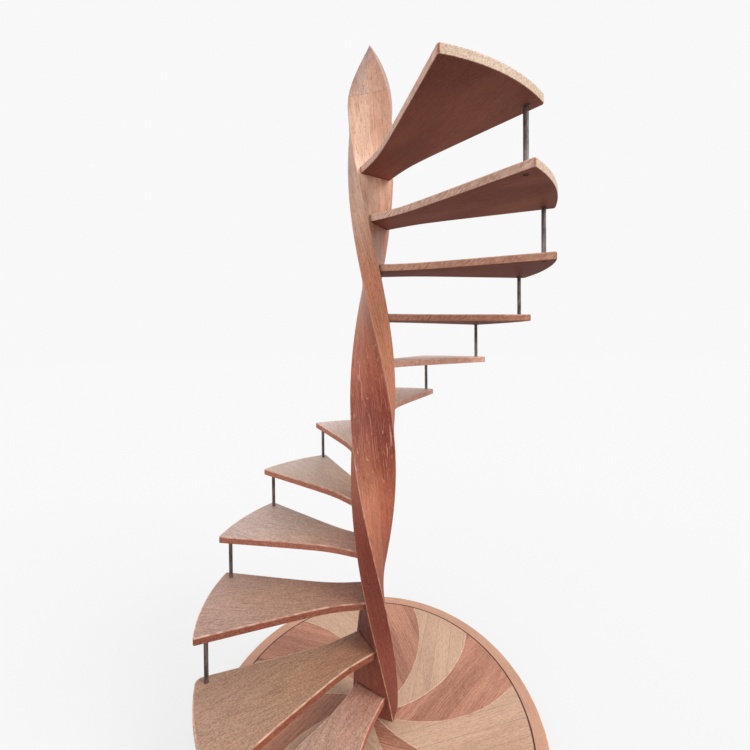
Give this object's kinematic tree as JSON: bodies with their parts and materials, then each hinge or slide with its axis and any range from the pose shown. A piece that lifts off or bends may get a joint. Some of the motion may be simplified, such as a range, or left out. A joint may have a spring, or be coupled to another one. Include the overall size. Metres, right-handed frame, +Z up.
{
  "type": "spiral staircase",
  "caption": "Free-standing oak spiral staircase: wing-shaped treads housed in a twisted slab column, tied together at their outer corners by thin steel rods, on a round swirl-patterned base.",
  "frame": {"origin": "column axis at floor level, on the underside of the base", "axes": "+Z up along the column; -Y is the side the pictured view looks from, so +X is to the right in that view. The treads climb clockwise seen from above."},
  "size_m": [1.5, 1.485, 3.038],
  "materials": {
    "tread_oak": "oiled, worn on the leading edges",
    "column_lower_oak": "oiled, red-brown",
    "column_upper_oak": "oiled, orange tan",
    "column_tip_oak": "oiled, greyed",
    "base_pale_oak": "oiled, pale",
    "base_dark_oak": "stained dark red-brown",
    "rod_steel": "dark, lightly oxidised"
  },
  "bodies": {
    "root": {"base_board": "base_dark_oak", "base_petal_01": "base_dark_oak", "base_petal_02": "base_pale_oak", "base_petal_03": "base_dark_oak", "base_petal_04": "base_pale_oak", "base_petal_05": "base_dark_oak", "base_petal_06": "base_pale_oak", "base_petal_07": "base_dark_oak", "base_petal_08": "base_pale_oak", "base_petal_09": "base_dark_oak", "base_petal_10": "base_pale_oak", "base_petal_11": "base_dark_oak", "base_petal_12": "base_pale_oak", "base_rim_left": "base_pale_oak", "base_rim_right": "base_pale_oak", "column_lower": "column_lower_oak", "column_upper": "column_upper_oak", "column_tip": "column_tip_oak", "tread_01": "tread_oak", "tread_02": "tread_oak", "tread_03": "tread_oak", "tread_04": "tread_oak", "tread_05": "tread_oak", "tread_06": "tread_oak", "tread_07": "tread_oak", "tread_08": "tread_oak", "tread_09": "tread_oak", "tread_10": "tread_oak", "tread_11": "tread_oak", "tread_12": "tread_oak", "tie_rod_01": "rod_steel", "tie_rod_02": "rod_steel", "tie_rod_03": "rod_steel", "tie_rod_04": "rod_steel", "tie_rod_05": "rod_steel", "tie_rod_06": "rod_steel", "tie_rod_07": "rod_steel", "tie_rod_08": "rod_steel", "tie_rod_09": "rod_steel", "tie_rod_10": "rod_steel", "tie_rod_11": "rod_steel", "tie_rod_12": "rod_steel"}
  },
  "joints": []
}
